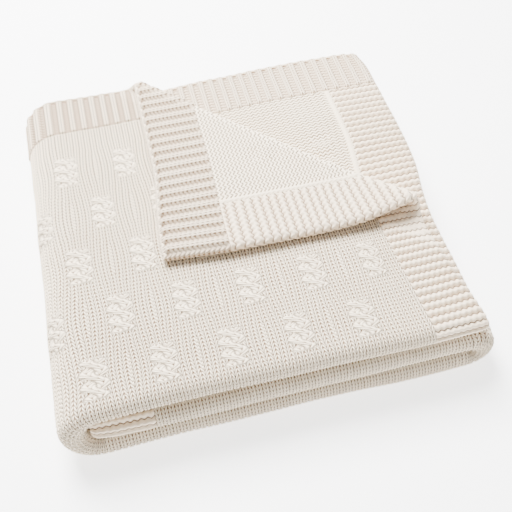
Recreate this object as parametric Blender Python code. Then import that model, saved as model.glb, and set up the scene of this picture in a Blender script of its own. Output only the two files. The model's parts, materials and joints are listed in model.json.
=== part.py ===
"""A knitted throw blanket, folded into a square pack, with one corner turned back.

The blanket is one knitted cloth: a stockinette body, a ribbed band along each short end and
a garter band along each side. It is folded end to end, which leaves a strip two cloths thick
with its fold at the front and both ribbed ends at the rear. The strip is then folded in
three like a letter. The right third goes over the middle third, and the left third goes on
top of both. The rear right corner of the uppermost cloth is turned back towards the front.

Frame: metres, +Z up, +X to the right along the front fold, -Y towards the front. The origin
is at the middle of the underside.

Cloths are numbered from the floor up, 0 to 5. Each has its own level, one pitch high. The
two hinges are the left-hand fold, which opens the upper panel, and the diagonal fold of the
turned-back corner. Every piece that moves hangs on an empty at its hinge.
"""

import math

import bmesh
import bpy
from mathutils import Matrix, Vector

# ---- driving dimensions, in metres ----
PACK_WIDTH = 0.339          # across the pack, from the left-hand roll to the right-hand roll
PACK_DEPTH = 0.330          # from the front folds to the ribbed ends
CLOTH_PITCH = 0.0105        # height that one cloth takes up in the stack
CLEARANCE = 0.0003          # gap between neighbouring solids
RIB_DEPTH = 0.048           # depth of the ribbed band at each short end
GARTER_WIDTH = 0.046        # width of the garter band at each side
INNER_EDGE_INSET = 0.007    # free edge of cloth 4, in from the right-hand roll
OUTER_EDGE_INSET = 0.015    # free edge of cloth 5, in from the right-hand roll
CORNER_LEG = 0.212          # side of the turned-back corner, along the rear edge
ARC_STEPS = 10              # facets in a quarter turn of a fold

# ---- places that follow from them ----
HALF_GAP = CLEARANCE / 2


def height(levels):
    """Z of the boundary above so many levels of cloth, midway in the gap between two cloths."""
    return levels * CLOTH_PITCH - HALF_GAP


CLOTHS_IN_STACK = 6
LEFT = -PACK_WIDTH / 2
RIGHT = PACK_WIDTH / 2
FRONT = -PACK_DEPTH / 2
REAR = PACK_DEPTH / 2
TOP = height(CLOTHS_IN_STACK)

LEFT_ROLL_CENTRE = LEFT + 3 * CLOTH_PITCH      # the left-hand roll turns through all 6 levels
RIGHT_ROLL_CENTRE = RIGHT - 2 * CLOTH_PITCH    # the right-hand roll turns through levels 0 to 3
FRONT_FOLD_CENTRE = FRONT + CLOTH_PITCH        # each front fold joins two cloths
RIB_FRONT = REAR - RIB_DEPTH
MIDDLE_FREE_EDGE = LEFT_ROLL_CENTRE - CLOTH_PITCH + CLEARANCE
INNER_EDGE = RIGHT - INNER_EDGE_INSET
OUTER_EDGE = RIGHT - OUTER_EDGE_INSET

# The panel hinge is beside the outermost line of the left-hand roll. It is half as high as the
# pack with its turned-back corner, so the opened panel lands on the floor.
PANEL_HINGE_Z = height((CLOTHS_IN_STACK + 1) / 2)
PANEL_HINGE = Vector((LEFT, 0.0, PANEL_HINGE_Z))

# The corner's fold is a 45 degree line, x + y = DIAGONAL, at the top of cloth 5.
DIAGONAL = OUTER_EDGE + REAR - CORNER_LEG
CORNER_HINGE = Vector((DIAGONAL / 2, DIAGONAL / 2, TOP))
CORNER_INSET = HALF_GAP * math.sqrt(2.0)       # half a gap, measured along X or Y

CREAM = (0.86, 0.80, 0.72, 1.0)
YARN_ROUGHNESS = 0.9


def clear_scene():
    """Removes whatever objects the file starts with."""
    for old in list(bpy.data.objects):
        bpy.data.objects.remove(old)


def yarn_material(name):
    """A matt cream yarn, one material for each piece."""
    material = bpy.data.materials.new(name + "_yarn")
    material.use_nodes = True
    shader = material.node_tree.nodes["Principled BSDF"]
    shader.inputs["Base Color"].default_value = CREAM
    shader.inputs["Roughness"].default_value = YARN_ROUGHNESS
    shader.inputs["Metallic"].default_value = 0.0
    return material


def pivot(name, place, carrier=None):
    """An empty on a hinge's axis, which carries the pieces that turn about it."""
    empty = bpy.data.objects.new(name, None)
    empty.empty_display_size = 0.03
    bpy.context.scene.collection.objects.link(empty)
    empty.parent = carrier
    empty.location = place - carrier.location if carrier else place
    return empty


def piece(name, outline, push, hinge=None):
    """Extrudes a closed outline along push, as one solid piece.

    hinge is the empty that carries the piece and the point that it turns about, or None for
    a piece that stays put, whose origin is its own centre.
    """
    mesh = bpy.data.meshes.new(name)
    bm = bmesh.new()
    corners = [bm.verts.new(point) for point in outline]
    face = bm.faces.new(corners)
    pushed = bmesh.ops.extrude_face_region(bm, geom=[face])
    moved = [item for item in pushed["geom"] if isinstance(item, bmesh.types.BMVert)]
    bmesh.ops.translate(bm, verts=moved, vec=push)
    bmesh.ops.recalc_face_normals(bm, faces=bm.faces)
    carrier, origin = hinge or (None, sum((v.co for v in bm.verts), Vector()) / len(bm.verts))
    bmesh.ops.transform(bm, matrix=Matrix.Translation(-origin), verts=bm.verts)
    bm.to_mesh(mesh)
    bm.free()
    mesh.materials.append(yarn_material(name))
    solid = bpy.data.objects.new(name, mesh)
    bpy.context.scene.collection.objects.link(solid)
    solid.parent = carrier
    if carrier is None:
        solid.location = origin
    return solid


def level(cloth):
    """The lowest and highest Z of one cloth in the stack, half a gap inside its level."""
    return height(cloth) + HALF_GAP, height(cloth + 1) - HALF_GAP


def plan_piece(name, corners, cloth, hinge=None):
    """A flat piece of cloth, from its corners in plan and its level in the stack."""
    low, high = level(cloth)
    outline = [(x, y, low) for x, y in corners]
    return piece(name, outline, Vector((0.0, 0.0, high - low)), hinge)


def rectangle(x0, x1, y0, y1):
    """Corners in plan of a rectangle, half a gap inside its bounds."""
    x0, x1, y0, y1 = x0 + HALF_GAP, x1 - HALF_GAP, y0 + HALF_GAP, y1 - HALF_GAP
    return [(x0, y0), (x1, y0), (x1, y1), (x0, y1)]


def arc(centre, radius, start, stop):
    """Points of an arc in a vertical plane, as pairs of across and height, angles in degrees."""
    steps = max(2, round(abs(stop - start) / 90 * ARC_STEPS))
    angles = [math.radians(start + (stop - start) * k / steps) for k in range(steps + 1)]
    return [(centre[0] + radius * math.cos(a), centre[1] + radius * math.sin(a)) for a in angles]


def profile_piece(name, profile, y0, y1, hinge=None):
    """A piece with one section, given as pairs of x and z, from y0 to y1."""
    outline = [(x, y0 + HALF_GAP, z) for x, z in profile]
    return piece(name, outline, Vector((0.0, y1 - y0 - CLEARANCE, 0.0)), hinge)


def front_fold(name, cloth, x0, x1, hinge=None):
    """The half-round lip at the front, where cloth number cloth turns up into the next."""
    centre = (FRONT_FOLD_CENTRE - HALF_GAP, height(cloth + 1))
    section = arc(centre, CLOTH_PITCH - HALF_GAP, 90, 270)
    outline = [(x0 + HALF_GAP, y, z) for y, z in section]
    return piece(name, outline, Vector((x1 - x0 - CLEARANCE, 0.0, 0.0)), hinge)


def roll_section(centre, inner, outer, start, stop):
    """Section of a cloth that turns round a roll, with half a gap on each side of it."""
    outside = arc(centre, outer - HALF_GAP, start, stop)
    if inner == 0:
        return outside
    return outside + arc(centre, inner + HALF_GAP, stop, start)


def split_roll_section(centre, inner, outer, above):
    """The part of the left-hand roll above or below the panel hinge, half a gap away from it."""
    cut = PANEL_HINGE_Z + HALF_GAP if above else PANEL_HINGE_Z - HALF_GAP
    far = 90 if above else 270
    outer_r, inner_r = outer - HALF_GAP, inner + HALF_GAP

    def cut_angle(radius):
        return 180 - math.degrees(math.asin((cut - centre[1]) / radius))

    return (arc(centre, outer_r, far, cut_angle(outer_r))
            + arc(centre, inner_r, cut_angle(inner_r), far))


def left_roll(suffix, above, hinge=None):
    """Both cloths of the left-hand roll, on one side of the hinge."""
    centre = (LEFT_ROLL_CENTRE - HALF_GAP, height(3))
    for name, inner in (("left_roll_inner_", 1), ("left_roll_outer_", 2)):
        section = split_roll_section(centre, inner * CLOTH_PITCH, (inner + 1) * CLOTH_PITCH, above)
        profile_piece(name + suffix, section, FRONT, REAR, hinge)


def bottom_panel():
    """The middle third of the blanket: cloth 0 face down on the floor, cloth 1 on top of it."""
    for cloth, name in ((0, "bottom_outer"), (1, "bottom_inner")):
        x0, x1 = LEFT_ROLL_CENTRE, RIGHT_ROLL_CENTRE
        plan_piece(name + "_body", rectangle(x0, x1, FRONT_FOLD_CENTRE, RIB_FRONT), cloth)
        plan_piece(name + "_rib", rectangle(x0, x1, RIB_FRONT, REAR), cloth)
    front_fold("bottom_front_fold", 0, LEFT_ROLL_CENTRE, RIGHT_ROLL_CENTRE)


def middle_garter(name, cloth, y0, y1):
    """The garter band at the middle panel's free edge, rounded to lie inside the left-hand roll."""
    low, high = level(cloth)
    centre = (LEFT_ROLL_CENTRE, height(3))
    radius = LEFT_ROLL_CENTRE - MIDDLE_FREE_EDGE
    lift = math.degrees(math.asin(HALF_GAP / radius))
    far = MIDDLE_FREE_EDGE + GARTER_WIDTH - HALF_GAP
    if cloth == 2:
        section = arc(centre, radius, 180 + lift, 270 - lift) + [(far, low), (far, high)]
    else:
        section = arc(centre, radius, 180 - lift, 90 + lift) + [(far, high), (far, low)]
    section = [(x, min(max(z, low), high)) for x, z in section]
    profile_piece(name, section, y0, y1)


def middle_panel():
    """The right third, folded over the bottom panel, with its free edge inside the left roll."""
    body_left = MIDDLE_FREE_EDGE + GARTER_WIDTH
    for cloth, name in ((2, "middle_inner"), (3, "middle_outer")):
        middle_garter(name + "_garter", cloth, FRONT_FOLD_CENTRE, RIB_FRONT)
        body = rectangle(body_left, RIGHT_ROLL_CENTRE, FRONT_FOLD_CENTRE, RIB_FRONT)
        plan_piece(name + "_body", body, cloth)
        plan_piece(name + "_rib", rectangle(LEFT_ROLL_CENTRE, RIGHT_ROLL_CENTRE, RIB_FRONT, REAR), cloth)
    front_fold("middle_front_fold", 2, LEFT_ROLL_CENTRE, RIGHT_ROLL_CENTRE)


def right_roll():
    """The fold between the bottom and middle panels: one cloth turning inside the other."""
    centre = (RIGHT_ROLL_CENTRE + HALF_GAP, height(2))
    for name, inner in (("right_roll_inner", 0), ("right_roll_outer", 1)):
        section = roll_section(centre, inner * CLOTH_PITCH, (inner + 1) * CLOTH_PITCH, -90, 90)
        profile_piece(name, section, FRONT, REAR)


def diagonal_x(y):
    """X of the corner's fold line at depth y, on the side that stays flat."""
    return DIAGONAL - CORNER_INSET - y


def top_panel(hinge):
    """The left third, on top: cloth 4 whole, cloth 5 without its turned-back corner."""
    x0, x1 = LEFT_ROLL_CENTRE, INNER_EDGE - GARTER_WIDTH
    plan_piece("top_inner_body", rectangle(x0, x1, FRONT_FOLD_CENTRE, RIB_FRONT), 4, hinge)
    plan_piece("top_inner_rib", rectangle(x0, INNER_EDGE, RIB_FRONT, REAR), 4, hinge)
    garter = rectangle(x1, INNER_EDGE, FRONT_FOLD_CENTRE, RIB_FRONT)
    plan_piece("top_inner_garter", garter, 4, hinge)

    x1 = OUTER_EDGE - GARTER_WIDTH
    left, right = x0 + HALF_GAP, x1 - HALF_GAP
    front, rear = FRONT_FOLD_CENTRE + HALF_GAP, RIB_FRONT - HALF_GAP
    body = [(left, front), (right, front), (right, DIAGONAL - CORNER_INSET - right),
            (diagonal_x(rear), rear), (left, rear)]
    plan_piece("top_outer_body", body, 5, hinge)
    front, rear = RIB_FRONT + HALF_GAP, REAR - HALF_GAP
    rib = [(left, front), (diagonal_x(front), front), (diagonal_x(rear), rear), (left, rear)]
    plan_piece("top_outer_rib", rib, 5, hinge)
    left, right, front = x1 + HALF_GAP, OUTER_EDGE - HALF_GAP, FRONT_FOLD_CENTRE + HALF_GAP
    garter = [(left, front), (right, front), (right, DIAGONAL - CORNER_INSET - right),
              (left, DIAGONAL - CORNER_INSET - left)]
    plan_piece("top_outer_garter", garter, 5, hinge)
    front_fold("top_front_fold", 4, LEFT_ROLL_CENTRE, OUTER_EDGE, hinge)


def turned(corners):
    """Plan corners reflected across the corner's fold line, onto the cloth in front of it."""
    return [(DIAGONAL - y, DIAGONAL - x) for x, y in corners]


def turned_corner(hinge):
    """The corner of cloth 5, laid out where it was knitted and then turned over its fold."""
    edge, rear = OUTER_EDGE - HALF_GAP, REAR - HALF_GAP
    line = DIAGONAL + CORNER_INSET
    body_right = OUTER_EDGE - GARTER_WIDTH - HALF_GAP
    body_rear = RIB_FRONT - HALF_GAP
    body = [(body_right, line - body_right), (body_right, body_rear), (line - body_rear, body_rear)]
    rib_front = RIB_FRONT + HALF_GAP
    rib = [(line - rib_front, rib_front), (edge, rib_front), (edge, rear), (line - rear, rear)]
    garter_left = OUTER_EDGE - GARTER_WIDTH + HALF_GAP
    garter = [(garter_left, line - garter_left), (edge, line - edge), (edge, body_rear),
              (garter_left, body_rear)]
    for name, corners in (("corner_body", body), ("corner_rib", rib), ("corner_garter", garter)):
        plan_piece(name, turned(corners), CLOTHS_IN_STACK, hinge)


def build():
    clear_scene()
    panel_pivot = pivot("panel_hinge", PANEL_HINGE)
    corner_pivot = pivot("corner_hinge", CORNER_HINGE, panel_pivot)
    bottom_panel()
    middle_panel()
    right_roll()
    left_roll("lower", above=False)
    left_roll("upper", above=True, hinge=(panel_pivot, PANEL_HINGE))
    top_panel((panel_pivot, PANEL_HINGE))
    turned_corner((corner_pivot, CORNER_HINGE))


build()
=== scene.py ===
# %% [markdown]
# # A folded cable-knit throw
#
# This lesson dresses a plain model of a folded blanket in its knitted cloth. The plain model
# is the frame: it says where each layer lies and how the pack opens. The blanket is really one
# cloth, so every visible piece here is cut from one flat plan of stitches and rows, and one
# set of rules folds that plan into place.

# %% Load the frame
import json
import math

import bpy
import numpy as np
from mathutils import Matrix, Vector

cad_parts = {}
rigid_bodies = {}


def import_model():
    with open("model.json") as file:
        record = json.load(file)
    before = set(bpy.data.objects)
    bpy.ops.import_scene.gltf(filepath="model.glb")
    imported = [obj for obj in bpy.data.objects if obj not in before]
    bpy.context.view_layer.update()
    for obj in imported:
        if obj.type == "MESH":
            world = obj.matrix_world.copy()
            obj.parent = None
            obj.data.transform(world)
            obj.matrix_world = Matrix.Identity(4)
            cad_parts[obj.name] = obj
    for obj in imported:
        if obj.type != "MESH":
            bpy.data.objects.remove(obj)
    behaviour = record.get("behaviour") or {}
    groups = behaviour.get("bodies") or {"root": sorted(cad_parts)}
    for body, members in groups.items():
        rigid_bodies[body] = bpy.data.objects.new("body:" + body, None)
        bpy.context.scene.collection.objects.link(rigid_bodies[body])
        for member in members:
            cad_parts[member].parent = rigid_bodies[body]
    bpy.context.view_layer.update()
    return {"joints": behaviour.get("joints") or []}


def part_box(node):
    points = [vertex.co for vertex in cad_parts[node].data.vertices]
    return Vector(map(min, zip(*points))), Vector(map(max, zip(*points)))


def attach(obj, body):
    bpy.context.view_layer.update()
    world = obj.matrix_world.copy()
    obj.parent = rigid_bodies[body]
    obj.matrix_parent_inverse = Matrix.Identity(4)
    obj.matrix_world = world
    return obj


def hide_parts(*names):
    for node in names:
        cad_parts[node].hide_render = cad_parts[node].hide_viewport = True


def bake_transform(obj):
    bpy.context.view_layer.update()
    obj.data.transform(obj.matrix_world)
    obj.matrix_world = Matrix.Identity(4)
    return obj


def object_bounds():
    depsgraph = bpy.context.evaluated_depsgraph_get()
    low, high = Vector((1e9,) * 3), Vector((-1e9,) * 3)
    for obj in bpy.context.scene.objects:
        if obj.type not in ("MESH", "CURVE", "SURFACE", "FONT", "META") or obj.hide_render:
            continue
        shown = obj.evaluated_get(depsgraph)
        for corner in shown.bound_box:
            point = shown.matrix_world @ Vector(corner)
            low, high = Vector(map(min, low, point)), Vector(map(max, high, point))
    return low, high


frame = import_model()

# %% [markdown]
# ## Measure the frame
#
# Nothing is placed by eye. The pitch of the stack is the height at which the second cloth
# begins, and the edges of the pack, of the ribs and of the garter bands are read from the
# nodes that stand for them.

# %% Places that come from the frame
LOW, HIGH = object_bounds()
LEFT, RIGHT, FRONT, REAR = LOW.x, HIGH.x, LOW.y, HIGH.y
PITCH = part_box("bottom_inner_body")[0].z
RIB_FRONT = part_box("top_inner_rib")[0].y
INNER_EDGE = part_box("top_inner_garter")[1].x
OUTER_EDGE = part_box("top_outer_garter")[1].x
CORNER_HINGE = next(j for j in frame["joints"] if j["name"] == "corner_fold")["pos_m"]
DIAGONAL = CORNER_HINGE[0] + CORNER_HINGE[1]
LEFT_CENTRE, RIGHT_CENTRE = LEFT + 3 * PITCH, RIGHT - 2 * PITCH
print(f"pitch {PITCH * 1000:.1f} mm, pack {(RIGHT - LEFT) * 1000:.0f} x {(REAR - FRONT) * 1000:.0f} mm")

# %% [markdown]
# ## The gauge
#
# A knitter plans in stitches across and rows along, so the cloth is planned that way too. The
# stitch and row below are a worsted-weight gauge, and each panel of the pack is two cloths.

# %% Gauge and thickness
STITCH = 0.00505
ROW = 0.0034
HALF_CLOTH = 0.0036       # half the cloth's thickness, without the relief of its stitches
HALF_PANEL = 0.0053       # from the middle of a two-layer panel to the middle of each cloth
GARTER_STITCHES = 9
CABLE_REPEAT = 10         # stitches from one cable to the next in a row
CABLE_DROP = 15           # rows from one row of cables to the next
print(f"gauge: {0.1 / STITCH:.1f} stitches and {0.1 / ROW:.1f} rows to 10 cm")


def smooth(x, low=0.0, high=1.0):
    """0 below low, 1 above high, with soft ends."""
    t = np.clip((x - low) / (high - low), 0.0, 1.0)
    return t * t * (3 - 2 * t)


def waves(x, y, size, seed):
    """Gentle swells from -1 to 1 over lengths near size: three fixed sine waves."""
    turn = np.random.default_rng(seed).uniform(0, 2 * np.pi, 6)
    a = np.sin(2 * np.pi * (x * 0.9 + y * 0.35) / size + turn[0])
    b = np.sin(2 * np.pi * (y * 0.8 - x * 0.5) / size + turn[1])
    c = np.sin(2 * np.pi * (x * 0.45 + y * 1.3) / size + turn[2])
    return (a + b + c) / 3

# %% [markdown]
# ## Stocking stitch
#
# On its right side each stitch shows two legs that meet in a V, with a groove between the legs
# and a deeper one between neighbouring columns. The wrong side shows only the loops' tops and
# bottoms: rows of small bumps that step half a stitch from one to the next. The mesh carries
# these as smooth heights above the cloth, in metres; the sharp grooves between strands are
# finer than the mesh, so the yarn's material draws them later from the same stitch and row.

# %% Heights of stocking stitch
V_HEIGHT, BUMP_HEIGHT = 0.0019, 0.0011
V_SLANT, PURL_WAVE, GARTER_WAVE = 1.45, 0.25, 0.09      # in rows, and for garter in ridges


def hill(phase):
    """A smooth rise and fall, 0 to 1, once in every whole step of phase."""
    return 0.5 - 0.5 * np.cos(2 * np.pi * phase)


def vee(stitch, row):
    """Right side: two slanted legs to each stitch."""
    off = np.abs((stitch % 1.0) - 0.5) * 2          # 0 on the stitch's middle line, 1 at its edge
    across = 1 - 0.45 * np.exp(-(off / 0.26) ** 2) - 0.90 * np.exp(-((1 - off) / 0.3) ** 2)
    return V_HEIGHT * across * (0.6 + 0.4 * hill(row + V_SLANT * off))


def purl(stitch, row):
    """Wrong side: bumps in rows that wave by half a row from stitch to stitch."""
    wave = PURL_WAVE * np.cos(2 * np.pi * stitch)
    return BUMP_HEIGHT * (0.3 + 0.7 * hill(row + wave))


print(f"a V stands {vee(0.25, 0.78) * 1000:.1f} mm high, a bump {purl(0.25, 0.5) * 1000:.1f} mm")

# %% [markdown]
# ## Rib and garter bands
#
# The short ends are 1x1 rib: one column of right-side stitches stands up, the next one sinks,
# and the wrong side is the same with the columns changed over. The sides are garter stitch:
# every second row is a ridge of bumps, so the band lies flat and doesn't curl.

# %% Heights of rib and garter stitch
RIB_HEIGHT, RIDGE_HEIGHT = 0.0029, 0.0021
BEAD = 1.0                                          # rows of cast-on edge at the end of the rib


def raised_column(stitch):
    """1 on the raised columns of a rib and 0 on the sunk ones, with steep sides."""
    return 0.5 + 0.5 * np.tanh(3.2 * (np.cos(np.pi * (stitch - 0.5)) + 0.12))


def rib(stitch, row, from_edge):
    """Raised columns one stitch wide with sunk ones between them, up to the cast-on edge."""
    raised = raised_column(stitch)
    knit_up = RIB_HEIGHT * raised + 0.0003 * raised * hill(row) + 0.0005 * (1 - raised) * hill(row)
    bead = 1 - smooth(from_edge, BEAD - 0.5, BEAD + 0.3)
    hole = (1 - raised) * np.exp(-((from_edge - BEAD - 0.45) / 0.35) ** 2)
    return knit_up * (1 - bead) + 0.0012 * bead - 0.0014 * hole - 0.0003


def garter(stitch, row):
    """Ridges two rows apart that wave a little with each stitch."""
    wave = GARTER_WAVE * np.cos(2 * np.pi * stitch)
    return RIDGE_HEIGHT * hill(row / 2 + wave) ** 0.8


print(f"a rib stands {RIB_HEIGHT * 1000:.1f} mm high, a garter ridge {RIDGE_HEIGHT * 1000:.1f} mm")

# %% [markdown]
# ## Cables
#
# Each small cable is a rope of two strands that cross three times in ten rows. A strand is a
# helix seen from above: it swings from side to side and is highest as it passes in front, and
# since both strands turn the same way, every crossing in front leans the same way. The cables
# stand in a half-drop grid, each row of them half a repeat aside from the row before.

# %% Where the cables are, and how high
CABLE_LENGTH, CABLE_SWING, STRAND = 10.6, 1.10, 1.06   # in rows, stitches and stitches
CROSSING = 3.2                                         # rows from one crossing to the next
CABLE_HEIGHT = 0.0023
FAR = 99.0


def cable_place(stitch, row, cables):
    """Stitches and rows from each point to the middle of its nearest cable."""
    best = None
    for aside in (0, 1):
        across = (stitch - cables["stitch"] - aside * CABLE_REPEAT / 2) % CABLE_REPEAT
        across = np.where(across > CABLE_REPEAT / 2, across - CABLE_REPEAT, across)
        along = (row - cables["row"] - aside * CABLE_DROP) % (2 * CABLE_DROP)
        along = np.where(along > CABLE_DROP, along - 2 * CABLE_DROP, along)
        far = (across / 4) ** 2 + (along / 8) ** 2
        if best is None:
            best = [far, across, along]
        else:
            nearer = far < best[0]
            best = [np.where(nearer, new, old) for new, old in zip((far, across, along), best)]
    far, across, along = best
    own_stitch, own_row = stitch - across, row - along
    left_out = (own_stitch < cables["first"]) | (own_stitch > cables["last"])
    left_out = left_out | (own_row < cables["row"] - 1) | (own_row > cables["last_row"])
    left_out = left_out | (np.abs(own_row - cables["lip_row"]) < 6)
    return np.where(left_out, FAR, across), np.where(left_out, FAR, along)


def cable(across, along):
    """The rope: its height, how far it takes over, the painted shade of its creases and outer rim, and
    the place on its strand.
    """
    inside = smooth(CABLE_LENGTH / 2 - np.abs(along), -0.3, 1.6)
    turn = np.pi * (along + CROSSING * 1.5) / CROSSING
    strands, places = [], []
    for strand in (0, 1):
        angle = turn + strand * np.pi
        place = (across - CABLE_SWING * np.cos(angle) * (0.35 + 0.65 * inside)) / STRAND
        strands.append((0.68 + 0.32 * np.sin(angle)) * np.sqrt(1 - np.clip(np.abs(place), 0, 1) ** 2))
        places.append(place)
    height = np.maximum(*strands)
    # Painted shade: where the two strands stand almost equally high, at each crossing, and in a ring
    # along the rope's outer rim.
    crease_shade = np.exp(-((strands[0] - strands[1]) / 0.34) ** 2) * (height > 0.15)
    rim = np.exp(-((height - 0.22) / 0.12) ** 2) * (np.abs(across) < 2.6)
    cover = smooth(inside, 0.15, 0.6) * smooth(height, 0.08, 0.34)
    place = np.where(strands[0] > strands[1], *places)
    return CABLE_HEIGHT * height, cover, np.maximum(crease_shade, 0.45 * rim) * inside, place


cable_width = 2 * (CABLE_SWING + STRAND) * STITCH
print(f"a cable is {cable_width * 1000:.0f} mm wide and {CABLE_LENGTH * ROW * 1000:.0f} mm long")

# %% [markdown]
# ## One plan for the whole cloth
#
# Each point of the cloth has a stitch and a row, and its zone follows from them: rib at the
# ends, garter at the sides, stocking stitch and cables between. The function below gives the
# heights of both sides of the cloth there. Near a cable the columns are drawn in towards it,
# because crossed strands take up width, which makes the plain columns around it bow.

# %% Relief of both sides
CORD = 1.0                    # the plain column between a garter band and the body, in stitches
JOIN_HEIGHT = 0.0010          # the height at which neighbouring zones meet
RIB_SHADE = (1.35, 0.8)       # how deep the painted shade in the sunk columns of a rib is, right side and wrong side


def relief(stitch, row, zone, last_stitch, last_row, cables):
    """For the right side and the wrong side: heights in metres, painted shade of creases, and which
    stitch shows.

    A side comes back as (height, painted shade of creases, share of Vs, share of bumps, share of
    ridges).
    """
    none, full = np.zeros_like(stitch), np.ones_like(stitch)
    if zone == "rib":
        from_edge = np.minimum(row, last_row - row)
        sides = []
        for shift in (0, 1):
            raised = raised_column(stitch + shift)
            # Painted shade on the steep side of each raised column, in the sunk columns, and in the row
            # of holes next to the cast-on edge.
            edge = np.exp(-((raised - 0.35) / 0.25) ** 2)
            crease_shade = (0.9 * edge + 0.45 * (1 - raised)) * RIB_SHADE[shift] * smooth(from_edge, 0.9, 1.2)
            crease_shade = crease_shade + 0.5 * (1 - raised) * np.exp(-((from_edge - 1.35) / 0.25) ** 2)
            sides.append((rib(stitch + shift, row, from_edge), crease_shade, raised, 1 - raised, none))
        return (stitch, stitch), sides
    if zone == "garter":
        low, high = garter(stitch, row), garter(stitch, row + 1)
        sides = [(low, none, none, none, full), (high, none, none, none, full)]
        return (stitch, stitch), sides
    across, along = cable_place(stitch, row, cables)
    pull = np.exp(-(along / 5.5) ** 2) * np.exp(-(across / 3.4) ** 2)
    bowed = stitch + 0.22 * pull * across
    rope, cover, crease_shade, place = cable(across, along)
    right = vee(bowed, row) * (1 - cover) + (rope + 0.0002) * cover
    strand = np.round(stitch - across) + 0.5 + 0.46 * np.clip(place, -1, 1)
    shown = np.where(cover > 0.5, strand, bowed)
    wrong = purl(bowed, row) + 0.0009 * cover * np.cos(np.pi * along / CROSSING)
    from_band = np.minimum(stitch, last_stitch - stitch) - GARTER_STITCHES
    cord = ((from_band > 0) & (from_band < CORD)).astype(float)
    across_cord = np.sin(np.pi * np.clip(from_band / CORD, 0, 1))
    wrong = wrong * (1 - cord) + cord * 0.0019 * across_cord ** 0.7
    # Painted shade along both sides of the cord on the wrong side.
    cord_edge_shade = cord * (1 - across_cord) ** 2
    plain = 1 - 0.35 * cover
    return (shown, bowed), [(right, crease_shade, plain, none, none), (wrong, cord_edge_shade, none, 1 - cord, none)]

# %% [markdown]
# ## Fold the plan
#
# The blanket was folded end to end, so it is a strip of two cloths with a soft lip at the
# front. The strip's middle line runs from the free edge of the top panel, round the left roll,
# along the bottom, round the right roll and back as the middle panel. A point of the cloth is
# found by walking that line, then going out to one side of the strip, and the lip is a half
# turn from one side to the other.

# %% The strip's middle line
TOP_RUN = INNER_EDGE - LEFT_CENTRE
LEFT_TURN = 2 * math.pi * PITCH
BOTTOM_RUN = RIGHT_CENTRE - LEFT_CENTRE
RIGHT_TURN = math.pi * PITCH
MIDDLE_RUN = RIGHT_CENTRE - LEFT_CENTRE + 0.8 * PITCH
STOPS = np.cumsum([0, TOP_RUN, LEFT_TURN, BOTTOM_RUN, RIGHT_TURN, MIDDLE_RUN])
LIP_FORWARD = {"top": -0.0025, "bottom": 0.0040, "middle": 0.0020}
LIP_WANDER = 0.0013           # how much a lip's front wanders along the pack
TUCKED = 0.28                 # share by which the two cloths close up at the middle panel's edge


def middle_line(u):
    """X and Z of the strip's middle line at distance u, and the direction out of the strip."""
    turned_left = np.clip((u - STOPS[1]) / (2 * PITCH), 0, math.pi)
    turned_right = np.clip((u - STOPS[3]) / PITCH, 0, math.pi)
    angle = math.pi / 2 + turned_left + turned_right
    x = LEFT_CENTRE + 2 * PITCH * np.cos(math.pi / 2 + turned_left)
    z = 3 * PITCH + 2 * PITCH * np.sin(math.pi / 2 + turned_left)
    x = np.where(u < STOPS[1], INNER_EDGE - u, x)
    x = np.where(u > STOPS[2], LEFT_CENTRE + (u - STOPS[2]), x)
    right_x = RIGHT_CENTRE + PITCH * np.sin(turned_right)
    right_z = 2 * PITCH - PITCH * np.cos(turned_right)
    x = np.where(u > STOPS[3], right_x, x)
    z = np.where(u > STOPS[3], right_z, z)
    x = np.where(u > STOPS[4], RIGHT_CENTRE - (u - STOPS[4]), x)
    return x, z, np.cos(angle), np.sin(angle)


def lip_forward(u):
    """How far the front lip stands out of the pack's front at distance u along the strip."""
    to_bottom = smooth(u, STOPS[1], STOPS[2])
    to_middle = smooth(u, STOPS[3], STOPS[4])
    step = LIP_FORWARD["bottom"] - LIP_FORWARD["top"]
    last = LIP_FORWARD["middle"] - LIP_FORWARD["bottom"]
    return LIP_FORWARD["top"] + step * to_bottom + last * to_middle + LIP_WANDER * waves(u, 0, 0.13, 4)


# Round a roll the cloth is longer on its outside than on its middle line, so it is given more
# stitches there, halfway to what the outside would need.
LEFT_EXTRA, RIGHT_EXTRA = 1.2, 1.4
walk = np.linspace(0, STOPS[-1], 20001)
density = np.where((walk > STOPS[1]) & (walk < STOPS[2]), LEFT_EXTRA, 1.0)
density = np.where((walk > STOPS[3]) & (walk < STOPS[4]), RIGHT_EXTRA, density)
counted = np.concatenate([[0], np.cumsum(density[1:] * np.diff(walk))]) / STITCH
STITCHES = counted[-1]


def stitch_at(u):
    """The stitch that lies at distance u along the strip."""
    return np.interp(u, walk, counted)


def distance_of(stitch):
    """The distance along the strip of a stitch."""
    return np.interp(stitch, counted, walk)


LIP_CENTRE = FRONT + PITCH
FLAT_RUN = REAR - LIP_CENTRE
LIP_RUN = math.pi * PITCH          # measured on the outside of the lip, where the stitches show
CLOTH_LENGTH = 2 * FLAT_RUN + LIP_RUN


def fold(u, v, out):
    """A point u along the strip and v along the cloth, out metres above the cloth's middle."""
    cx, cz, nx, nz = middle_line(u)
    turn = np.clip((v - FLAT_RUN) / LIP_RUN, 0, 1) * math.pi
    flat = np.where(v < FLAT_RUN, REAR - v, LIP_CENTRE)
    flat = np.where(v > FLAT_RUN + LIP_RUN, LIP_CENTRE + (v - FLAT_RUN - LIP_RUN), flat)
    reach = HALF_PANEL * (1 - TUCKED * smooth(u, STOPS[-1] - 0.020, STOPS[-1])) + out
    near = smooth(LIP_CENTRE + 0.06 - flat, 0.0, 0.06)
    y = flat - reach * np.sin(turn) - lip_forward(u) * near
    side = reach * np.cos(turn)
    return np.stack([cx + nx * side, y, cz + nz * side], -1)


print(f"flat blanket {STITCHES:.0f} stitches by {CLOTH_LENGTH / ROW:.0f} rows")

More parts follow.
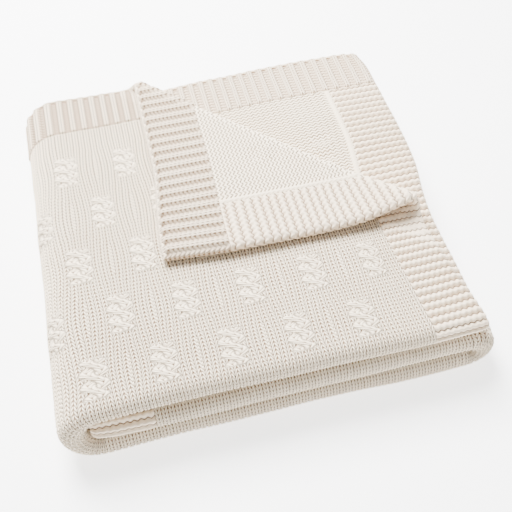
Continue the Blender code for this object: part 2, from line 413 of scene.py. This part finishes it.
# %% [markdown]
# ## Turn back the corner
#
# The corner of the uppermost cloth goes round a small roll along the diagonal and lies on the
# panel with its wrong side up. The roll keeps the length of the cloth. Near the side edge the
# cloth is slack, so there the roll is larger and lifts the band off the panel.

# %% The diagonal roll
ROLL_RADIUS, ROLL_MOUTH = 0.0058, 0.0105
MOUTH_LENGTH = 0.075
MIDDLE_OF_TOP = 5 * PITCH + HALF_PANEL
SIDE_END = (2 * OUTER_EDGE - DIAGONAL) / math.sqrt(2)     # where the diagonal meets the side edge
CORNER_GAP = 0.0006                                       # between the roll's cloth and the hinge line


def past_diagonal(x, y):
    """How far a flat point lies past the line where the roll begins, and the roll's radius."""
    along = (x - y) / math.sqrt(2)                        # grows from the rear edge to the side
    mouth = smooth(along, SIDE_END - MOUTH_LENGTH, SIDE_END + 0.004)
    radius = ROLL_RADIUS + (ROLL_MOUTH - ROLL_RADIUS) * mouth
    start = DIAGONAL / math.sqrt(2) - radius - HALF_CLOTH - CORNER_GAP
    return (x + y) / math.sqrt(2) - start, radius, start, along


def turn_back(flat, out):
    """Moves points of the uppermost cloth that lie past the diagonal onto the cloth below."""
    past, radius, start, along = past_diagonal(flat[..., 0], flat[..., 1])
    turn = np.clip(past / radius, 0, math.pi)
    beyond = np.maximum(past - math.pi * radius, 0)
    tight = np.maximum(radius - out, 0.0004)
    s = start + tight * np.sin(turn) - beyond
    slack = 2 * (radius - ROLL_RADIUS) * (1 - np.exp(-(beyond / 0.04) ** 1.5))
    z = MIDDLE_OF_TOP + radius - tight * np.cos(turn) - slack
    wrapped = np.stack([(s + along) / math.sqrt(2), (s - along) / math.sqrt(2), z], -1)
    return np.where((past > 0)[..., None], wrapped, flat)


print(f"the corner's roll is {2000 * ROLL_RADIUS:.0f} mm thick, {2000 * ROLL_MOUTH:.0f} mm at the side")

# %% [markdown]
# ## Soften the pack
#
# Hand-folded cloth is never exact. Its surface swells and sinks by a millimetre or so, and the
# free edges wander: the side edge of the uppermost cloth draws in just in front of the turned
# corner, and bows out along it.

# %% Small irregularities
EDGE_PLACES = (-0.165, -0.120, -0.063, -0.048, -0.022, 0.010, 0.120, 0.165)
EDGE_DRAWN_IN = (0.001, 0.007, 0.014, 0.013, 0.003, 0.000, 0.002, 0.006)
SWELL = 0.0007                          # of the surface; shorter swells are less than half of it
LOWER_LIPS_RIGHT = 0.005                # how far the lower lips reach past the right side
REAR_BACK, REAR_CORNER_BACK = 0.003, 0.008     # how far the upper rear edge lies back
BARED_OUT, BARED_UP = 0.011, 0.003      # where the turned corner bares the cloth below it, that
BARED_BACK, BARED_MORE = 0.003, 0.005   # cloth lies out, up and back, with its corner rounded
BARED_ROUND, ROUND_SIZE = 0.004, 0.016
FLOOR_GAP = 0.0003


def settle(points, u, v):
    """Adds the gentle swell of soft cloth, along the strip's outward direction."""
    _, _, nx, nz = middle_line(u)
    amount = SWELL * waves(points[..., 0], points[..., 1], 0.11, 3)
    amount = amount + 0.4 * SWELL * waves(points[..., 0], points[..., 1], 0.043, 5)
    shift = np.stack([nx * amount, 0.9 * amount * waves(u, v, 0.15, 8), nz * amount], -1)
    return points + shift


def plain_cloth(u, v, out):
    """The folded cloth, settled. Nothing sinks below the floor."""
    points = settle(fold(u, v, out), u, v)
    x, y, z = (points[..., k].copy() for k in range(3))
    low_front = smooth(-y, 0.03, -FRONT) * smooth(4 * PITCH - z, 0.0, 0.5 * PITCH)
    points[..., 0] = x + LOWER_LIPS_RIGHT * low_front * smooth(x, RIGHT_CENTRE - 0.02, RIGHT)
    points[..., 2] = np.maximum(z, FLOOR_GAP)
    return points


def upper_cloth(u, v, out):
    """The same cloth with its edge drawn in or out and its corner turned back."""
    flat = settle(fold(u, v, out), u, v)
    x, y = flat[..., 0].copy(), flat[..., 1].copy()
    outer = smooth(FLAT_RUN + LIP_RUN / 2 - v, 0.0, 0.01)
    inward = np.interp(y, EDGE_PLACES, EDGE_DRAWN_IN)
    flat[..., 0] = x - outer * inward * smooth(x, 0.075, INNER_EDGE)
    rearward = smooth(y, 0.08, REAR)
    further = REAR_BACK * smooth(x, -0.10, -0.02) + REAR_CORNER_BACK * smooth(x, 0.05, OUTER_EDGE)
    flat[..., 1] = y + outer * rearward * further
    bared = (1 - outer) * smooth(x + y, DIAGONAL - 0.01, DIAGONAL + 0.07)
    at_corner = np.exp(-((INNER_EDGE - x) ** 2 + (REAR - y) ** 2) / ROUND_SIZE ** 2)
    flat[..., 0] += bared * BARED_OUT * smooth(x, 0.06, INNER_EDGE) * smooth(y, -0.08, 0.05)
    flat[..., :2] -= BARED_ROUND * (bared * at_corner)[..., None]
    flat[..., 1] += bared * rearward * (BARED_BACK + BARED_MORE * smooth(x, -0.02, INNER_EDGE))
    flat[..., 2] = np.maximum(flat[..., 2] + bared * BARED_UP, FLOOR_GAP)
    turned = turn_back(flat, np.where(v < FLAT_RUN, out, 0.0))
    return np.where((v < FLAT_RUN)[..., None], turned, flat)


print(f"the side edge is drawn in by up to {max(EDGE_DRAWN_IN) * 1000:.0f} mm")

# %% [markdown]
# ## Make a closed sheet
#
# A knitted sheet has two sides and a rounded edge. The builder takes a grid of points for each
# side, keeps the cells that belong to the piece, and walls in their outline, so that the sheet
# is closed and has a true thickness. Where two pieces of the cloth meet, the wall is hidden and
# flat shaded, so it doesn't tint the sides beside it. The thickness fades towards a free edge.

# %% The sheet builder
EDGE_ROUND = 0.0065
HIDDEN_WALL = 0.003           # a wall higher than this lies where two pieces meet


def outline(keep, grid):
    """Pairs of grid corners along the outline of the kept cells, with the cells on one side."""
    padded = np.pad(keep, 1)
    pairs = []
    across = padded[1:, 1:-1].astype(int) - padded[:-1, 1:-1]    # edges between rows of cells
    down = padded[1:-1, 1:].astype(int) - padded[1:-1, :-1]      # edges between columns of cells
    for change, first, second in ((across, grid[:, :-1], grid[:, 1:]), (down, grid[:-1], grid[1:])):
        forward = change == (1 if change is across else -1)
        back = change == (-1 if change is across else 1)
        pairs.append(np.stack([first[forward], second[forward]], -1))
        pairs.append(np.stack([second[back], first[back]], -1))
    return np.concatenate(pairs)


def sheet_mesh(name, right, wrong, keep, marks):
    """A closed mesh from the points of both sides, over the kept cells of their grid."""
    nv, nu = right.shape[:2]
    top = np.arange(nv * nu).reshape(nv, nu)
    corners = np.stack([top[:-1, :-1], top[:-1, 1:], top[1:, 1:], top[1:, :-1]], -1)[keep]
    rim = outline(keep, top)
    count = nv * nu
    wall = np.stack([rim[:, 1], rim[:, 0], rim[:, 0] + count, rim[:, 1] + count], -1)
    faces = np.concatenate([corners, corners[:, ::-1] + count, wall])
    points = np.concatenate([right.reshape(-1, 3), wrong.reshape(-1, 3)])
    height = np.linalg.norm(points[rim[:, 0]] - points[rim[:, 0] + count], axis=1)
    sharp = np.concatenate([np.zeros(2 * len(corners), bool), height > HIDDEN_WALL])
    used, faces = np.unique(faces, return_inverse=True)
    faces = faces.reshape(-1, 4)
    mesh = bpy.data.meshes.new(name)
    mesh.vertices.add(len(used))
    mesh.vertices.foreach_set("co", points[used].astype(np.float32).ravel())
    mesh.loops.add(faces.size)
    mesh.loops.foreach_set("vertex_index", faces.astype(np.int32).ravel())
    mesh.polygons.add(len(faces))
    mesh.polygons.foreach_set("loop_start", np.arange(0, faces.size, 4, dtype=np.int32))
    mesh.update(calc_edges=True)
    mesh.polygons.foreach_set("use_smooth", ~sharp)
    for key, sides in marks.items():
        values = np.concatenate([side.reshape(-1, 3) for side in sides])[used]
        mesh.attributes.new(key, "FLOAT_VECTOR", "POINT").data.foreach_set(
            "vector", values.astype(np.float32).ravel())
    return mesh


def free_edge(distance):
    """Share of the full thickness at a distance from a free edge."""
    t = np.clip(distance / EDGE_ROUND, 0.0, 1.0)
    return 0.12 + 0.88 * np.sqrt(1 - (1 - t) ** 2)

# %% [markdown]
# ## The yarn
#
# The whole blanket is knitted from one soft cream yarn with a dry, slightly hairy surface. Its
# colour is nearly even, faintly mottled from one length of yarn to the next. The grooves are
# given painted shade: the colour turns warmer and deeper there, where less light reaches. Its
# grooves and its fibres are finer than the mesh, so a bump and the painted shade draw them from
# the stitch and row of each point. A small class lets shader maths be written as expressions.

# %% Shader maths as expressions
class Field:
    """A value that changes over a surface. Operators on it add Math nodes."""

    def __init__(self, tree, socket):
        self.tree, self.socket = tree, socket

    def math(self, operation, *others):
        """A Math node on this value and others, each a number or another value."""
        return self.node("ShaderNodeMath", {"operation": operation}, dict(enumerate((self, *others))))

    def node(self, kind, settings=None, values=None, output=0):
        """Any node: its settings first, then values or links for its sockets."""
        made = self.tree.nodes.new(kind)
        for key, value in (settings or {}).items():
            setattr(made, key, value)
        for key, value in (values or {}).items():
            if isinstance(value, Field):
                self.tree.links.new(value.socket, made.inputs[key])
            else:
                made.inputs[key].default_value = value
        return Field(self.tree, made.outputs[output])

    def __add__(self, other):
        return self.math("ADD", other)

    def __mul__(self, other):
        return self.math("MULTIPLY", other)

    def __sub__(self, other):
        return self.math("SUBTRACT", other)

    def __rsub__(self, other):
        return self.node("ShaderNodeMath", {"operation": "SUBTRACT"}, {0: other, 1: self})

    __radd__, __rmul__ = __add__, __mul__

# %% [markdown]
# ## The strands in the shader
#
# The mesh says for every point which stitch and row it lies on, and whether Vs, bumps or ridges
# show there, so the strands follow the cloth round every fold. A leg of a V is a round strand
# that slants with the distance from the stitch's middle line; a bump and a ridge are round
# strands too, waved by a cosine. What is none of these is the rope of a cable.

# %% Heights of the strands, from 0 to 1
BETWEEN_COLUMNS, BETWEEN_LEGS = 1.0, 0.85       # how deep the two grooves beside a leg are


def round_strand(phase):
    """1 along the middle of a strand and 0 on its borders, once in every whole step of phase."""
    at = phase.math("FRACT") * 2.0 - 1.0
    return 1.0 - at * at


def strand_height(stitch, row, vees, bumps, ridges):
    """How high the strands stand at a point, from the share of each kind of stitch there."""
    off = (stitch.math("FRACT") - 0.5).math("ABSOLUTE") * 2.0
    leg = round_strand(row + off * V_SLANT) * 0.8 + 0.25
    leg = leg - off.math("POWER", 5.0) * BETWEEN_COLUMNS
    leg = leg - (1.0 - off).math("POWER", 5.0) * BETWEEN_LEGS
    turn = (stitch * (2 * math.pi)).math("COSINE")
    bump_top = round_strand(row + turn * PURL_WAVE)
    ridge = round_strand(row * 0.5 + turn * GARTER_WAVE).math("POWER", 0.8)
    rope = 0.72 + (row * 5.0 + off * 6.0).math("SINE") * 0.08
    return leg * vees + bump_top * bumps + ridge * ridges + rope * (1.0 - vees - bumps - ridges)

# %% [markdown]
# ## The yarn's colour and surface
#
# One material serves each kind of knitting, so that a reader can recolour the bands alone. The
# colour goes from cream to a painted brown shade in the grooves, and the same heights drive a
# bump. The body is a lighter cream than the bands, because its many small grooves carry more
# painted shade and would darken it.

# %% Yarn material
# The third colour is the brown of the painted shade in grooves and creases.
CREAM, WARM, GROOVE_SHADE_BROWN = (0.90, 0.755, 0.57, 1), (0.88, 0.71, 0.52, 1), (0.20, 0.115, 0.06, 1)
# The body's lighter cream makes up for the painted shade of its many grooves.
LIGHT_CREAM, LIGHT_WARM = (1.0, 0.86, 0.65, 1), (0.97, 0.81, 0.60, 1)
GROOVE_LEVEL = 0.58           # strands lower than this get painted shade


def yarn(name, depth, shade, cream=CREAM, warm=WARM):
    """Cream yarn: depth scales how strongly strands are modelled, shade how deep the painted shade in
    the grooves is.
    """
    material = bpy.data.materials.new(name)
    material.use_nodes = True
    tree = material.node_tree
    shader = tree.nodes["Principled BSDF"]
    shader.inputs["Sheen Weight"].default_value = 0.15
    shader.inputs["Sheen Roughness"].default_value = 0.6
    shader.inputs["Specular IOR Level"].default_value = 0.2
    start = Field(tree, None)

    def parts(attribute):
        vector = start.node("ShaderNodeAttribute", {"attribute_name": attribute}, output=1)
        split = start.node("ShaderNodeSeparateXYZ", values={0: vector})
        return [Field(tree, split.socket.node.outputs[k]) for k in range(3)]

    stitch, row, crease_shade = parts("knit")
    vees, bumps, ridges = parts("shows")
    strands = strand_height(stitch, row, vees, bumps, ridges)
    place = start.node("ShaderNodeTexCoord", output=3)
    mottle = start.node("ShaderNodeTexNoise", values={"Vector": place, "Scale": 30.0, "Detail": 4.0})
    fibre = start.node("ShaderNodeTexNoise", values={"Vector": place, "Scale": 1100.0, "Detail": 3.0})
    clip = {"operation": "MULTIPLY", "use_clamp": True}
    # Painted shade: strands lower than the groove level, and the creases, mix the colour towards a shade
    # brown; ridges and ropes also get a flat lowering of their tone.
    groove = start.node("ShaderNodeMath", clip, {0: GROOVE_LEVEL - strands, 1: shade})
    groove_shade_and_tone = groove + ridges * 0.06 + (1.0 - vees - bumps - ridges) * 0.14
    shade_and_tone_share = start.node("ShaderNodeMath", {"operation": "MAXIMUM"}, {0: groove_shade_and_tone, 1: crease_shade * 0.8})
    mix = {"data_type": "RGBA"}
    tone = start.node("ShaderNodeMath", clip, {0: mottle - 0.3, 1: 1.8})
    body = start.node("ShaderNodeMix", mix, {0: tone, 6: cream, 7: warm}, output=2)
    colour = start.node("ShaderNodeMix", mix, {0: shade_and_tone_share, 6: body, 7: GROOVE_SHADE_BROWN}, output=2)
    rough = 0.80 + fibre * 0.16
    height = strands * depth + fibre * 0.25
    bump = start.node("ShaderNodeBump", values={"Height": height, "Distance": 0.0008, "Strength": 0.8})
    tree.links.new(colour.socket, shader.inputs["Base Color"])
    tree.links.new(rough.socket, shader.inputs["Roughness"])
    tree.links.new(bump.socket, shader.inputs["Normal"])
    return material


YARNS = {"body": yarn("cream_stocking_stitch", 1.9, 1.9, LIGHT_CREAM, LIGHT_WARM),
         "rib": yarn("cream_rib", 1.5, 1.4), "garter": yarn("cream_garter", 1.6, 2.0)}
print("materials:", ", ".join(m.name for m in YARNS.values()))

# %% [markdown]
# ## Knit a piece
#
# This is where plan, fold and builder meet. A piece is a patch of the plan: a stretch of the
# strip and a stretch of the cloth's length, in one zone. It becomes an object with the yarn of
# its zone, and its flat size is printed.

# %% From a patch of the plan to an object
PER_STITCH, PER_ROW = 6, 4        # mesh columns to a stitch and mesh rows to a row
TOP_PER_STITCH, TOP_PER_ROW = 7, 5
CABLES = {"stitch": 8.7, "row": 28.5, "first": 12, "last": STITCHES - 12, "last_row": 172,
          "lip_row": (FLAT_RUN + LIP_RUN) / ROW}
V_BODY, V_END = REAR - RIB_FRONT, CLOTH_LENGTH - (REAR - RIB_FRONT)


def columns(first, last, per_stitch=PER_STITCH):
    """Distances along the strip for mesh columns from one stitch to another."""
    return distance_of(np.linspace(first, last, max(2, round((last - first) * per_stitch)) + 1))


def lines(first, last, fine, per_row=PER_ROW):
    """Distances along the cloth for mesh rows: close together within fine, wide elsewhere."""
    stops = sorted({first, last, *(min(max(f, first), last) for f in fine)})
    parts = []
    for a, b in zip(stops[:-1], stops[1:]):
        step = ROW / per_row * (1 if fine[0] <= (a + b) / 2 <= fine[1] else 3)
        parts.append(np.linspace(a, b, max(2, round((b - a) / step)) + 1)[:-1])
    return np.concatenate([*parts, [last]])


def knit(name, zone, us, vs, shape, keep=None, press=None):
    """A piece of the cloth over the grid us by vs. keep picks cells, press flattens relief."""
    u, v = np.meshgrid(us, vs)
    stitch, row = stitch_at(u), v / ROW
    bowed, sides = relief(stitch, row, zone, STITCHES, CLOTH_LENGTH / ROW, CABLES)
    inner = np.minimum(v, CLOTH_LENGTH - v) - V_BODY
    side_band = (np.minimum(stitch, STITCHES - stitch) - GARTER_STITCHES) * STITCH
    apart = np.abs(inner) if zone == "rib" else np.minimum(np.abs(inner), np.abs(side_band))
    own = smooth(apart, -0.0006, 0.0018)
    right, wrong = (JOIN_HEIGHT + (side[0] - JOIN_HEIGHT) * own for side in sides)
    if press is not None:
        right, wrong = press(u, v, right, wrong)
    full = free_edge(u) * free_edge(STOPS[-1] - u) * free_edge(v) * free_edge(CLOTH_LENGTH - v)
    points = [shape(u, v, full * (HALF_CLOTH + right)), shape(u, v, -full * (HALF_CLOTH + wrong))]
    rows = (row, row + 1 if zone == "garter" else row)      # ridges of one side are furrows of the other
    # The third value of the knit attribute is the painted shade of creases.
    marks = {"knit": [np.stack([shown, rows[k], sides[k][1]], -1) for k, shown in enumerate(bowed)],
             "shows": [np.stack(side[2:], -1) for side in sides]}
    cells = np.ones((len(vs) - 1, len(us) - 1), bool)
    if keep is not None:
        cells = keep(0.5 * (u[1:, 1:] + u[:-1, :-1]), 0.5 * (v[1:, 1:] + v[:-1, :-1]))
    mesh = sheet_mesh(name, *points, cells, marks)
    mesh.materials.append(YARNS[zone])
    piece = bpy.data.objects.new(name, mesh)
    bpy.context.scene.collection.objects.link(piece)
    widths = np.diff(stitch_at(us)) * STITCH
    flat = (widths[np.any(cells, axis=0)].sum(), np.diff(vs)[np.any(cells, axis=1)].sum())
    area = (np.outer(np.diff(vs), widths) * cells).sum()
    return piece, flat, min(area, flat[0] * flat[1])


def declare(made, nodes, rides=None, bends=None):
    """Fixes a piece: with bends its transform is baked in, else it rides with a body; it hides the
    solids it stands for and prints its size.
    """
    piece, flat, area = made
    if bends:
        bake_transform(piece)
    else:
        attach(piece, rides)
    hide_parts(*nodes)
    print(f"{piece.name}: {len(piece.data.polygons)} faces, cut {flat[0] * 1000:.0f} x "
          f"{flat[1] * 1000:.0f} mm")
    return piece

# %% [markdown]
# ## The layers that stay put
#
# The bottom panel, the roll at its right and the middle panel lie still when the pack is
# opened. Only their front lips and the outside of the roll are seen, so only those rows are
# fine. The cables are pressed flat where panels lie on one another.

# %% Bottom, right roll and middle
SPLIT = round(stitch_at(STOPS[1] - 0.038))           # the wale where the left roll begins
SPLIT_LOW = round(stitch_at(STOPS[2] + 0.038))       # and the wale where it ends below
TURN_LOW, TURN_HIGH = round(stitch_at(STOPS[3])), round(stitch_at(STOPS[4]))
GARTER_END = round(STITCHES - GARTER_STITCHES)
LIP_ROWS = (FLAT_RUN - 0.022, FLAT_RUN + LIP_RUN + 0.006)


def pressed(u, v, right, wrong):
    """Relief between panels: nothing stands higher than a plain stitch."""
    on_lip = smooth(v, FLAT_RUN - 0.016, FLAT_RUN) * smooth(FLAT_RUN + LIP_RUN + 0.004 - v, 0, 0.01)
    limit = 0.0016 + 0.0015 * on_lip
    return np.minimum(right, limit), wrong


def still(name, zone, first, last, v0, v1, nodes, fine=LIP_ROWS, per_stitch=PER_STITCH):
    grid = (columns(first, last, per_stitch), lines(v0, v1, fine))
    made = knit(name, zone, *grid, plain_cloth, press=pressed)
    return declare(made, nodes, rides="lower_panels")


OUTER_ROWS, ALL_ROWS = (0.0, FLAT_RUN + LIP_RUN + 0.006), (0.0, CLOTH_LENGTH)
still("bottom_body", "body", SPLIT_LOW, TURN_LOW, V_BODY, V_END,
      ["bottom_outer_body", "bottom_inner_body", "bottom_front_fold"])
still("right_roll", "body", TURN_LOW, TURN_HIGH, V_BODY, V_END,
      ["right_roll_inner", "right_roll_outer"], OUTER_ROWS)
still("middle_body", "body", TURN_HIGH, GARTER_END, V_BODY, V_END,
      ["middle_outer_body", "middle_inner_body", "middle_front_fold"])
still("middle_garter", "garter", GARTER_END, STITCHES, V_BODY, V_END,
      ["middle_inner_garter", "middle_outer_garter"])
still("lower_outer_edge", "rib", SPLIT_LOW, STITCHES, 0, V_BODY,
      ["bottom_outer_rib", "middle_outer_rib"], (0.0, 0.012))
still("lower_inner_edge", "rib", SPLIT_LOW, STITCHES, V_END, CLOTH_LENGTH,
      ["bottom_inner_rib", "middle_inner_rib"],
      (CLOTH_LENGTH - 0.012, CLOTH_LENGTH))

# %% [markdown]
# ## The left roll
#
# The two cloths go round the middle panel in one roll, and this is where the pack opens. The
# pieces of the roll ride with neither body: their transform is baked in where they lie, and
# ROLL_BEND only names the two bodies and the two heights between which the roll would pass.

# %% Left roll
ROLL_BEND = ("lower_panels", "upper_panel", (LEFT, 0, 2.06 * PITCH), (LEFT, 0, 3.94 * PITCH))


def at_seam(u, v, right, wrong):
    """Where the roll meets the top panel the groove between columns is filled to half its depth."""
    near = np.exp(-((stitch_at(u) - SPLIT) / 0.1) ** 2)
    return np.where(near > 0.05, np.maximum(right, 0.0011 * near), right), wrong


def rolling(name, zone, v0, v1, nodes, fine):
    grid = (columns(SPLIT, SPLIT_LOW, TOP_PER_STITCH), lines(v0, v1, fine, TOP_PER_ROW))
    made = knit(name, zone, *grid, plain_cloth, press=at_seam)
    return declare(made, nodes, bends=ROLL_BEND)


rolling("left_roll", "body", V_BODY, V_END,
        ["left_roll_inner_lower", "left_roll_outer_lower", "left_roll_inner_upper",
         "left_roll_outer_upper"], ALL_ROWS)
rolling("left_roll_inner_edge", "rib", V_END, CLOTH_LENGTH, [], (CLOTH_LENGTH - 0.012, CLOTH_LENGTH))

# %% [markdown]
# ## The top panel and its turned corner
#
# The uppermost cloth is one cloth up to the diagonal and over it. It is cut into pieces along
# the line where the roll begins, cell by cell, so the two parts meet exactly. The turned part
# goes round its roll and its transform is baked in where it lies; it rides with no body. Its
# right side is pressed against the panel; its wrong side is the one on show.

# %% Top panel
CORNER_BEND = ("upper_panel", "turned_corner", (0, 0, 0.0620), (0, 0, 0.0641))


def on_flat(u, v):
    """Where a point of the uppermost cloth would be if its corner weren't turned back."""
    points = fold(u, v, np.zeros_like(u))
    return points[..., 0], points[..., 1]


def on_top(u, v, right, wrong):
    """Relief of the top panel: under the turned corner and inside its roll it is pressed."""
    right, wrong = at_seam(u, v, right, wrong)
    past = past_diagonal(*on_flat(u, v))[0]
    outer = v < FLAT_RUN
    inside = outer & (past > -0.012)
    calm = 1 - np.where(inside, smooth(past, -0.012, -0.003), 0)
    calm = np.maximum(calm, np.where(outer, smooth(past, 0.018, 0.030), 0))
    right = np.where(inside, np.minimum(right, 0.0014) * calm, right)
    return np.where(outer, right, np.minimum(right, 0.0016)), wrong


def top_piece(name, zone, first, last, v0, v1, nodes, turned=False, bends=None):
    def keep(u, v):
        beyond = (past_diagonal(*on_flat(u, v))[0] > 0) & (v < FLAT_RUN)
        return beyond == turned
    grid = (columns(first, last, TOP_PER_STITCH), lines(v0, v1, ALL_ROWS, TOP_PER_ROW))
    made = knit(name, zone, *grid, upper_cloth, keep, on_top)
    return declare(made, nodes, rides="upper_panel",
                   bends=CORNER_BEND if turned else bends)


top_piece("top_body", "body", GARTER_STITCHES, SPLIT, V_BODY, V_END,
          ["top_outer_body", "top_inner_body", "top_front_fold"])
top_piece("top_garter", "garter", 0, GARTER_STITCHES, V_BODY, V_END,
          ["top_outer_garter", "top_inner_garter"])
top_piece("upper_outer_edge", "rib", 0, SPLIT_LOW, 0, V_BODY, ["top_outer_rib"],
          bends=ROLL_BEND)
top_piece("top_inner_edge", "rib", 0, SPLIT, V_END, CLOTH_LENGTH, ["top_inner_rib"])
top_piece("corner_body_cloth", "body", GARTER_STITCHES, SPLIT, V_BODY, FLAT_RUN, ["corner_body"],
          True)
top_piece("corner_garter_band", "garter", 0, GARTER_STITCHES, V_BODY, FLAT_RUN,
          ["corner_garter"], True)
top_piece("corner_edge", "rib", 0, SPLIT, 0, V_BODY, ["corner_rib"], True)

# %% [markdown]
# ## Floor, light and camera
#
# A plain white floor and broad soft lights show knitting best: one large light from behind and
# above rakes across the stitches, and a weak one from the front keeps the lips readable.

# %% Stage
bpy.ops.mesh.primitive_plane_add(size=12, location=(0, 0, 0))
floor = bpy.context.object
floor.name = "floor"
white = bpy.data.materials.new("white_floor")
white.use_nodes = True
base = white.node_tree.nodes["Principled BSDF"]
base.inputs["Base Color"].default_value = (0.9, 0.9, 0.9, 1)
base.inputs["Roughness"].default_value = 0.8
base.inputs["Emission Color"].default_value = (1, 1, 1, 1)
base.inputs["Emission Strength"].default_value = 2.4
floor.data.materials.append(white)


def soft_light(name, place, aim, size, power):
    """A square area light at a place, turned towards a point."""
    lamp = bpy.data.lights.new(name, "AREA")
    lamp.size, lamp.energy = size, power
    light = bpy.data.objects.new(name, lamp)
    light.location = place
    light.rotation_euler = (Vector(aim) - Vector(place)).to_track_quat("-Z", "Y").to_euler()
    bpy.context.scene.collection.objects.link(light)
    return light


soft_light("overhead", (-0.20, 0.65, 1.15), (0, 0, 0), 0.7, 120)
soft_light("front_fill", (0.5, -1.2, 0.9), (0, 0, 0.02), 1.2, 2)
world = bpy.data.worlds.new("studio")
world.use_nodes = True
world.node_tree.nodes["Background"].inputs["Color"].default_value = (1, 1, 1, 1)
world.node_tree.nodes["Background"].inputs["Strength"].default_value = 0.92
bpy.context.scene.world = world

# %% [markdown]
# The camera stands in front of the stack, a little to its left, and looks down on it at about
# 55 degrees. A lens near 50 mm at this distance keeps the far edge visibly shorter than the near
# one, as it is when a folded blanket is looked at from a standing height.

# %% Camera
lens = bpy.data.cameras.new("studio_camera")
lens.lens, lens.sensor_width = 49.2, 36
camera = bpy.data.objects.new("studio_camera", lens)
camera.location = (-0.0776, -0.3726, 0.5192)
camera.rotation_euler = (math.radians(35.3), 0, math.radians(-14.5))
bpy.context.scene.collection.objects.link(camera)
bpy.context.scene.camera = camera
print(f"camera {camera.location.length:.2f} m from the middle of the pack, lens {lens.lens:.0f} mm")

# %% [markdown]
# ## Measure and finish
#
# Last, the faces of all shown meshes are counted and printed.

# %% Finish
faces = sum(len(o.data.polygons) for o in bpy.data.objects if o.type == "MESH" and not o.hide_render)
print("faces in all:", faces)
